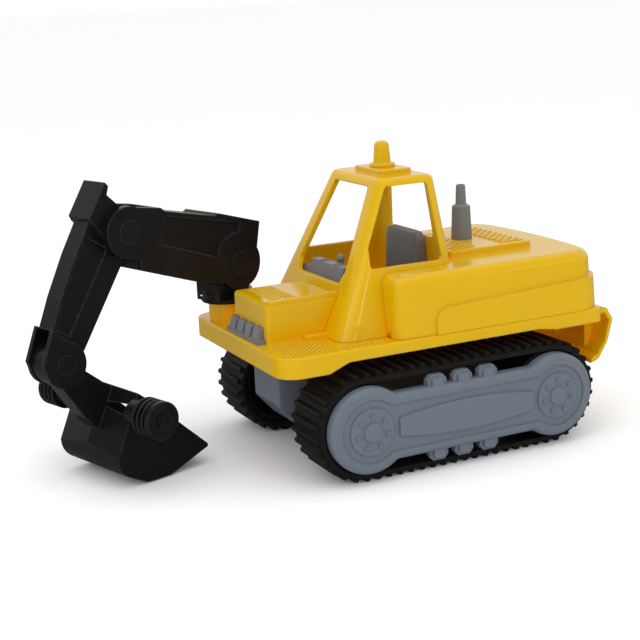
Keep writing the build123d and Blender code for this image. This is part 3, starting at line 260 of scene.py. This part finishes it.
def plastic(name, color, roughness, edge_color=None, edge=0.0008, edge_wear_and_highlight_amount=0.25, tone=0.12, tone_scale=14.0,
            grain=0.10, grain_scale=1500.0, ripple=0.03, scuff=0.25, glow=None, specular=0.5,
            painted_hollow_light_color=None):
    """Moulded plastic or rubber: tone drift, grain, rounded edges with wear and a painted highlight, scuffs,
    painted bounce light and glow in hollows.
    """
    material = bpy.data.materials.new(name)
    material.use_nodes = True
    tree = material.node_tree
    shader = tree.nodes["Principled BSDF"]
    toned = use_group(tree, TONE, Color=(*color, 1.0), Amount=tone, Scale=tone_scale)
    edges = use_group(tree, EDGE, Radius=edge, Break=0.6)
    grained = use_group(tree, GRAIN, Scale=grain_scale, Strength=grain, Ripple=ripple)
    scuffed = use_group(tree, SCUFF, Amount=scuff)
    tree.links.new(edges.outputs["Normal"], grained.inputs["Normal"])
    # paler edge colour mixed in along the edge mask: edge wear, and on the black mouldings a painted
    # highlight along the edges
    patchy_edge_wear_and_highlight = add_math(tree, "MULTIPLY", edges.outputs["Mask"], edge_wear_and_highlight_amount)
    paler = tuple(min(1.0, 1.25 * c + 0.03) for c in color) if edge_color is None else edge_color
    edged = add_mix(tree, patchy_edge_wear_and_highlight, toned.outputs["Color"], (*paler, 1.0))
    scuff_tint = add_math(tree, "MULTIPLY", scuffed.outputs["Mask"], 0.18)
    final = add_mix(tree, scuff_tint, edged, (*paler, 1.0))
    # painted bounce light: in hollows and inner corners the colour is mixed towards a strong orange that
    # stands in for light bounced between the walls
    if painted_hollow_light_color is not None:
        hollow = use_group(tree, HOLLOW, Distance=0.05, Low=0.1, High=0.6)
        final = add_mix(tree, hollow.outputs["Mask"], final, (*painted_hollow_light_color, 1.0))
        # painted glow: a faint orange emission in the hollows stands in for light let through the thin walls
        painted_glow = add_math(tree, "MULTIPLY", hollow.outputs["Mask"], 0.16)
        shader.inputs["Emission Color"].default_value = (*painted_hollow_light_color, 1.0)
        tree.links.new(painted_glow, shader.inputs["Emission Strength"])
    tree.links.new(final, shader.inputs["Base Color"])
    rough = add_math(tree, "MULTIPLY_ADD", scuffed.outputs["Mask"], 0.35)
    spread = add_math(tree, "MULTIPLY_ADD", toned.outputs["Mask"], 0.14)
    spread.node.inputs[2].default_value = roughness - 0.07
    tree.links.new(spread, rough.node.inputs[2])
    tree.links.new(rough, shader.inputs["Roughness"])
    tree.links.new(grained.outputs["Normal"], shader.inputs["Normal"])
    shader.inputs["Specular IOR Level"].default_value = specular
    if glow is not None:
        shader.inputs["Subsurface Weight"].default_value = glow
        shader.inputs["Subsurface Radius"].default_value = (1.0, 0.32, 0.03)
        shader.inputs["Subsurface Scale"].default_value = 0.006
    return material


def metal(name, color, roughness):
    """Bright zinc-plated steel with fine turning marks."""
    material = plastic(name, color, roughness, edge_wear_and_highlight_amount=0.5, tone=0.2, grain=0.25, grain_scale=2600.0, scuff=0.5)
    material.node_tree.nodes["Principled BSDF"].inputs["Metallic"].default_value = 1.0
    return material


# painted bounce light and glow: the yellow's hollows get a strong orange colour and a faint orange emission
YELLOW = plastic("yellow_moulding", (0.605, 0.365, 0.0007), 0.18, edge_color=(0.78, 0.54, 0.03), edge=0.0018,
                 edge_wear_and_highlight_amount=0.4, tone=0.08, grain=0.03, ripple=0.02, scuff=0.12, glow=0.10, specular=0.42,
                 painted_hollow_light_color=(0.86, 0.33, 0.001))
GREY = plastic("grey_moulding", (0.118, 0.142, 0.172), 0.36, edge=0.0010, edge_wear_and_highlight_amount=0.35, tone=0.12,
               grain=0.12, scuff=0.3, specular=0.35)
FITTING = plastic("fitting_moulding", (0.158, 0.162, 0.162), 0.38, edge=0.0008, edge_wear_and_highlight_amount=0.35, tone=0.12,
                  grain=0.15, scuff=0.25, specular=0.35)
# painted highlight: on the black mouldings the pale edge colour and strong edge mix draw thin light lines
# along the edges
BLACK = plastic("black_moulding", (0.0050, 0.0050, 0.0056), 0.30, edge_color=(0.10, 0.10, 0.11), edge=0.0010,
                edge_wear_and_highlight_amount=0.6, tone=0.25, grain=0.12, ripple=0.03, scuff=0.25, specular=0.2)
PIN_BLACK = plastic("black_pin", (0.0046, 0.0046, 0.0050), 0.28, edge_color=(0.10, 0.10, 0.11), edge=0.0006,
                    edge_wear_and_highlight_amount=0.6, tone=0.2, grain=0.1, scuff=0.4, specular=0.22)
RUBBER = plastic("track_rubber", (0.0075, 0.0070, 0.0066), 0.58, edge_color=(0.03, 0.028, 0.025), edge=0.0006,
                 edge_wear_and_highlight_amount=0.5, tone=0.5, tone_scale=30.0, grain=0.4, grain_scale=900.0, ripple=0.05, scuff=0.5,
                 specular=0.2)
STEEL = metal("bright_steel", (0.62, 0.62, 0.60), 0.3)

LOOKS = {
    YELLOW: ("deck", "body_shell", "cab", "rear_bumper", "beacon"),
    GREY: ("left_track_cover", "right_track_cover", "chassis"),
    FITTING: ("seat", "dashboard", "control_lever", "exhaust_stack", "headlight_strip"),
    BLACK: (
        "front_left_wheel",
        "front_right_wheel",
        "rear_left_wheel",
        "rear_right_wheel",
        "swing_bracket",
        "boom",
        "stick",
        "bucket",
        "left_knob",
        "right_knob",
    ),
    PIN_BLACK: ("boom_foot_pin", "stick_pin", "bucket_pin"),
    RUBBER: ("left_track", "right_track"),
    STEEL: ("front_axle", "rear_axle", "cover_screws", "chassis_screws", "body_screws", "swing_screw"),
}


def give(piece, material):
    piece.data.materials.clear()
    piece.data.materials.append(material)


for material, names in LOOKS.items():
    for name in names:
        piece = frame["nodes"][name]
        for slot in piece.material_slots:
            slot.material = material


# ---------------------------------------------------------------- pieces built here
def activate(piece):
    bpy.ops.object.select_all(action="DESELECT")
    piece.select_set(True)
    bpy.context.view_layer.objects.active = piece


def settle(piece, name, material, body="digger"):
    """Apply everything, put the origin at the frame's origin and hang the piece on its body."""
    activate(piece)
    for modifier in list(piece.modifiers):
        bpy.ops.object.modifier_apply(modifier=modifier.name)
    bpy.ops.object.transform_apply(location=True, rotation=True, scale=True)
    piece.name = name
    give(piece, material)
    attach(piece, body)
    return piece


def add_array(piece, count, step):
    array = piece.modifiers.new("row", "ARRAY")
    array.count = count
    array.use_relative_offset = False
    array.use_constant_offset = True
    array.constant_offset_displace = step


def pick_faces(piece, wanted):
    """Go to edit mode with only the wanted faces selected."""
    activate(piece)
    bpy.ops.object.mode_set(mode="EDIT")
    bpy.ops.mesh.select_mode(type="FACE")
    bpy.ops.mesh.select_all(action="DESELECT")
    bpy.ops.object.mode_set(mode="OBJECT")
    for face in piece.data.polygons:
        face.select = wanted(face)
    bpy.ops.object.mode_set(mode="EDIT")


def bevel_all(piece, width, segments=1):
    activate(piece)
    bpy.ops.object.mode_set(mode="EDIT")
    bpy.ops.mesh.select_all(action="SELECT")
    bpy.ops.mesh.bevel(offset=width, segments=segments, affect="EDGES")
    bpy.ops.object.mode_set(mode="OBJECT")


def join_pieces(pieces):
    bpy.ops.object.select_all(action="DESELECT")
    for piece in pieces:
        piece.select_set(True)
    bpy.context.view_layer.objects.active = pieces[0]
    bpy.ops.object.join()
    return bpy.context.active_object


def diamond_stud(place, pitch, height):
    """Four-sided stud with its edges taken off, sunk a little into the plate."""
    bpy.ops.mesh.primitive_cone_add(
        vertices=4, radius1=pitch * 0.47, radius2=pitch * 0.27, depth=height * 1.5,
        location=(place[0], place[1], place[2] + height * 0.25),
    )
    stud = bpy.context.active_object
    bevel_all(stud, pitch * 0.05)
    return stud


def brick_stud(place, pitch, height):
    """Oblong stud, wider than deep, with a sloped rim round its flat top."""
    bpy.ops.mesh.primitive_cube_add(
        size=1.0, scale=(pitch * 0.8, pitch * 0.4, height),
        location=(place[0], place[1], place[2]),
    )
    stud = bpy.context.active_object
    bpy.ops.object.transform_apply(location=False, rotation=False, scale=True)
    pick_faces(stud, lambda face: face.normal.z > 0.5)
    bpy.ops.mesh.inset(thickness=pitch * 0.07, depth=height * 0.5)
    bpy.ops.object.mode_set(mode="OBJECT")
    return stud


def tread(name, low, high, top, pitch, height, make_stud):
    """Plate tread: two interleaved grids of one stud over a rectangle of the plate."""
    grids = []
    for shift in (0.0, 0.5):
        place = (low[0] + (shift + 0.5) * pitch, low[1] + (shift + 0.5) * pitch, top)
        stud = make_stud(place, pitch, height)
        add_array(stud, max(1, int((high[0] - low[0]) / pitch - shift)), (pitch, 0, 0))
        add_array(stud, max(1, int((high[1] - low[1]) / pitch - shift)), (0, pitch, 0))
        activate(stud)
        for modifier in list(stud.modifiers):
            bpy.ops.object.modifier_apply(modifier=modifier.name)
        grids.append(stud)
    return settle(join_pieces(grids), name, YELLOW)


deck_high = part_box("deck")[1]
cab_low, cab_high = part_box("cab")
stack_low, stack_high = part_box("exhaust_stack")
seat_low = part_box("seat")[0]
dash_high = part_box("dashboard")[1]
deck_top = cab_low[2]
lip_height = 2.5 * MM
nose_top = deck_high[2] - lip_height
nose_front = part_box("headlight_strip")[0][0]
tread_height = 0.8 * MM
fine_pitch = 4.6 * MM
hood_pitch = 7.0 * MM

tread("deck_tread_front", (cab_high[0] + 7 * MM, 40 * MM), (deck_high[0] - 7 * MM, deck_high[1] - 4 * MM),
      deck_top, fine_pitch, tread_height, diamond_stud)
tread("deck_tread_side", (48 * MM, deck_high[1] - 14.5 * MM), (cab_high[0] + 7 * MM, deck_high[1] - 4 * MM),
      deck_top, fine_pitch, tread_height, diamond_stud)
tread("nose_tread", (nose_front - 28 * MM, -17 * MM), (nose_front - 5 * MM, 33 * MM),
      nose_top, fine_pitch, tread_height, diamond_stud)

stack_x = (stack_low[0] + stack_high[0]) / 2
plate_reach = 33 * MM
stack_gap = 8.5 * MM
plate_half_width = 36 * MM
tread("hood_tread_rear", (stack_x - plate_reach, -plate_half_width), (stack_x - stack_gap, plate_half_width),
      stack_low[2], hood_pitch, tread_height, brick_stud)
tread("hood_tread_front", (stack_x + stack_gap, -plate_half_width), (stack_x + plate_reach, plate_half_width),
      stack_low[2], hood_pitch, tread_height, brick_stud)


def seat_ribs(count=13, spacing=3.0 * MM):
    """Upright moulded ribs down the front of the backrest, leaning back with it."""
    rib_radius = 1.25 * MM
    rib_length = 30 * MM
    rib_middle = seat_low[2] + 41.5 * MM
    backrest_face = seat_low[0] + 11.0 * MM
    lean = math.atan2(2.0, 36.0)
    bpy.ops.mesh.primitive_cylinder_add(
        vertices=16, radius=rib_radius, depth=rib_length,
        location=(backrest_face, -(count - 1) * spacing / 2, rib_middle),
        rotation=(0, -lean, 0),
    )
    rib = bpy.context.active_object
    bpy.ops.object.transform_apply(location=False, rotation=True, scale=False)
    pick_faces(rib, lambda face: abs(face.normal.z) > 0.9)
    bpy.ops.mesh.bevel(offset=0.8 * MM, segments=3, affect="EDGES")
    bpy.ops.object.mode_set(mode="OBJECT")
    add_array(rib, count, (0, spacing, 0))
    bpy.ops.object.shade_smooth_by_angle(angle=math.radians(40))
    return settle(rib, "seat_ribs", FITTING)


def dash_rings():
    """Two raised rings on the dashboard's top strip, cut to the width of the strip."""
    strip_rear = dash_high[0] - 14.6 * MM
    strip_front = dash_high[0] - 8.2 * MM
    ring_centre = dash_high[0] - 11.5 * MM
    rings = []
    for radius in (9.0 * MM, 12.5 * MM):
        bpy.ops.mesh.primitive_torus_add(
            major_segments=48, minor_segments=8, major_radius=radius, minor_radius=0.7 * MM,
            location=(ring_centre, 0, dash_high[2]),
        )
        rings.append(bpy.context.active_object)
    ring = join_pieces(rings)
    bpy.ops.object.transform_apply(location=True, rotation=True, scale=True)
    bpy.ops.object.mode_set(mode="EDIT")
    bpy.ops.mesh.select_all(action="SELECT")
    bpy.ops.mesh.bisect(plane_co=(strip_rear, 0, 0), plane_no=(1, 0, 0), clear_inner=True, use_fill=True)
    bpy.ops.mesh.select_all(action="SELECT")
    bpy.ops.mesh.bisect(plane_co=(strip_front, 0, 0), plane_no=(1, 0, 0), clear_outer=True, use_fill=True)
    bpy.ops.object.mode_set(mode="OBJECT")
    bpy.ops.object.shade_smooth_by_angle(angle=math.radians(40))
    return settle(ring, "dash_rings", FITTING)


def deck_step():
    """Low block beside the nose box, at the foot of the windscreen."""
    bpy.ops.mesh.primitive_cube_add(
        size=1.0, scale=(23 * MM, 4 * MM, 5 * MM),
        location=(cab_high[0] + 4 * MM, 42 * MM, deck_top + 1.5 * MM),
    )
    step = bpy.context.active_object
    bpy.ops.object.transform_apply(location=False, rotation=False, scale=True)
    bevel_all(step, 0.8 * MM, 2)
    return settle(step, "deck_step", YELLOW)


def find_joint(name):
    return next(joint for joint in frame["joints"] if joint["name"] == name)


def bucket_teeth(count=5, spacing=14 * MM):
    """Row of small blunt teeth along the bucket's lip, each narrower and thinner at its tip."""
    tooth_length = 7 * MM
    joint = find_joint("bucket_scoop")
    rightward = Vector(joint["axis"]).normalized()
    forward = Vector((-rightward.y, rightward.x, 0.0))
    bpy.ops.mesh.primitive_cube_add(size=1.0, scale=(tooth_length, 6 * MM, 2.4 * MM))
    tooth = bpy.context.active_object
    bpy.ops.object.transform_apply(location=False, rotation=False, scale=True)
    pick_faces(tooth, lambda face: face.normal.x < -0.5)
    bpy.ops.transform.resize(value=(1, 0.6, 0.5), center_override=(-tooth_length / 2, 0, -0.6 * MM))
    bpy.ops.object.mode_set(mode="OBJECT")
    bevel_all(tooth, 0.4 * MM, 2)
    add_array(tooth, count, (0, spacing, 0))
    activate(tooth)
    bpy.ops.object.modifier_apply(modifier=tooth.modifiers[0].name)
    tooth.rotation_euler = (0, math.radians(18), math.atan2(forward.y, forward.x))
    lip = forward * (-93 * MM) + Vector((0, 0, -75.6 * MM))
    tooth.location = Vector(joint["pos_m"]) + lip + rightward * ((count - 1) * spacing / 2)
    return settle(tooth, "bucket_teeth", BLACK, "bucket_body")


def pin_rings(name, joint_name, pin_name, body):
    """Thin raised ring round each end of an arm pin, half sunk in the pin's face."""
    ring_wall = 0.45 * MM
    sunk = 0.2 * MM
    joint = find_joint(joint_name)
    axis = Vector(joint["axis"]).normalized()
    centre = Vector(joint["pos_m"])
    pin = frame["nodes"][pin_name]
    corners = [pin.matrix_world @ vertex.co - centre for vertex in pin.data.vertices]
    reaches = [corner.dot(axis) for corner in corners]
    radius = max(corner.cross(axis).length for corner in corners)
    rings = []
    for reach, outward in ((min(reaches), -1), (max(reaches), 1)):
        bpy.ops.object.select_all(action="DESELECT")
        bpy.ops.mesh.primitive_torus_add(
            major_segments=48, minor_segments=8, major_radius=radius, minor_radius=ring_wall,
            location=centre + axis * reach, rotation=axis.to_track_quat("Z", "Y").to_euler(),
        )
        ring = bpy.context.active_object
        bpy.ops.object.transform_apply(location=True, rotation=True, scale=True)
        bpy.ops.object.mode_set(mode="EDIT")
        bpy.ops.mesh.select_all(action="SELECT")
        bpy.ops.mesh.bisect(
            plane_co=centre + axis * (reach - outward * sunk), plane_no=axis * outward,
            clear_inner=True, use_fill=True,
        )
        bpy.ops.object.mode_set(mode="OBJECT")
        rings.append(ring)
    ring = join_pieces(rings)
    bpy.ops.object.shade_smooth_by_angle(angle=math.radians(40))
    return settle(ring, name, PIN_BLACK, body)


seat_ribs()
dash_rings()
deck_step()
bucket_teeth()
pin_rings("boom_foot_rings", "boom_lift", "boom_foot_pin", "boom_body")
pin_rings("stick_pin_rings", "stick_reach", "stick_pin", "boom_body")
pin_rings("bucket_pin_rings", "bucket_scoop", "bucket_pin", "stick_body")

# ---------------------------------------------------------------- floor, light, camera
bpy.ops.mesh.primitive_plane_add(size=60.0, location=(0, 0, 0))
floor = bpy.context.active_object
floor.name = "floor"
floor_material = bpy.data.materials.new("pale_floor")
floor_material.use_nodes = True
floor_tree = floor_material.node_tree
floor_shader = floor_tree.nodes["Principled BSDF"]
floor_noise = add_noise(floor_tree, object_coordinates(floor_tree), 9.0, 4.0)
floor_patch = add_range(floor_tree, floor_noise, 0.3, 0.7)
floor_color = add_mix(floor_tree, floor_patch, (0.955, 0.955, 0.955, 1),
                      (0.965, 0.965, 0.965, 1))
floor_seen = floor_tree.nodes.new("ShaderNodeLightPath").outputs["Is Glossy Ray"]
floor_color = add_mix(floor_tree, floor_seen, floor_color, (0.22, 0.22, 0.22, 1))
floor_tree.links.new(floor_color, floor_shader.inputs["Base Color"])
floor_shader.inputs["Roughness"].default_value = 0.9
floor_shader.inputs["Specular IOR Level"].default_value = 0.1
give(floor, floor_material)

camera_azimuth = math.radians(154.7)
camera_elevation = math.radians(13.68)
camera_roll = math.radians(-2.67)
camera_distance = 0.99426
camera_target = Vector((0.06447, 0.0, 0.09488))
back = Vector((
    math.sin(camera_azimuth) * math.cos(camera_elevation),
    -math.cos(camera_azimuth) * math.cos(camera_elevation),
    math.sin(camera_elevation),
))
level = Vector((0, 0, 1)).cross(back).normalized()
upward = back.cross(level)
across = level * math.cos(camera_roll) + upward * math.sin(camera_roll)
upright = upward * math.cos(camera_roll) - level * math.sin(camera_roll)
camera_data = bpy.data.cameras.new("camera")
camera_data.sensor_width = 36.0
camera_data.lens = 77.0552
camera_data.clip_start = 0.05
camera = bpy.data.objects.new("camera", camera_data)
scene.collection.objects.link(camera)
camera.matrix_world = Matrix.Translation(camera_target + back * camera_distance) @ Matrix(
    (across, upright, back)
).transposed().to_4x4()
scene.camera = camera


# The room is even to the eye and to soft light. In reflections it is bright behind the toy and dim in front.
world = bpy.data.worlds.new("studio")
world.use_nodes = True
world_tree = world.node_tree
backdrop = world_tree.nodes.new("ShaderNodeVectorMath")
backdrop.operation = "DOT_PRODUCT"
backdrop.inputs[1].default_value = Vector((-back.x, -back.y, 0.40)).normalized()
world_tree.links.new(world_tree.nodes.new("ShaderNodeTexCoord").outputs["Generated"], backdrop.inputs[0])
reflected = add_range(world_tree, backdrop.outputs["Value"], -0.1, 0.8, 0.08, 0.85)
is_reflection = world_tree.nodes.new("ShaderNodeLightPath").outputs["Is Glossy Ray"]
room_color = add_mix(world_tree, is_reflection, (1.04, 1.04, 1.05, 1.0), (1.0, 1.0, 1.0, 1.0))
dimmed = add_math(world_tree, "MULTIPLY", is_reflection, add_math(world_tree, "SUBTRACT", 1.0, reflected))
world_shader = world_tree.nodes["Background"]
world_tree.links.new(room_color, world_shader.inputs["Color"])
world_tree.links.new(add_math(world_tree, "SUBTRACT", 1.0, dimmed), world_shader.inputs["Strength"])
scene.world = world


def softbox(name, place, aim, size, power, color=(1, 1, 1)):
    data = bpy.data.lights.new(name, "AREA")
    data.shape = "RECTANGLE"
    data.size, data.size_y = size
    data.energy = power
    data.color = color
    lamp = bpy.data.objects.new(name, data)
    scene.collection.objects.link(lamp)
    lamp.location = place
    lamp.rotation_euler = (Vector(aim) - Vector(place)).to_track_quat("-Z", "Y").to_euler()
    return lamp


softbox("overhead", (0.15, 0.2, 1.3), (0, 0, 0.05), (1.3, 1.1), 3.0)
softbox("key", (1.1, 0.9, 0.9), (0, 0, 0.08), (0.7, 0.7), 1.6)
softbox("fill", (-1.1, 1.2, 0.6), (0, 0, 0.08), (0.8, 0.6), 1.0)
softbox("left_strip", (1.0, 0.35, 0.55), (0.1, 0, 0.1), (0.08, 0.5), 0.9)
softbox("right_strip", (-0.15, 1.1, 0.6), (0, 0, 0.1), (0.08, 0.5), 0.9)
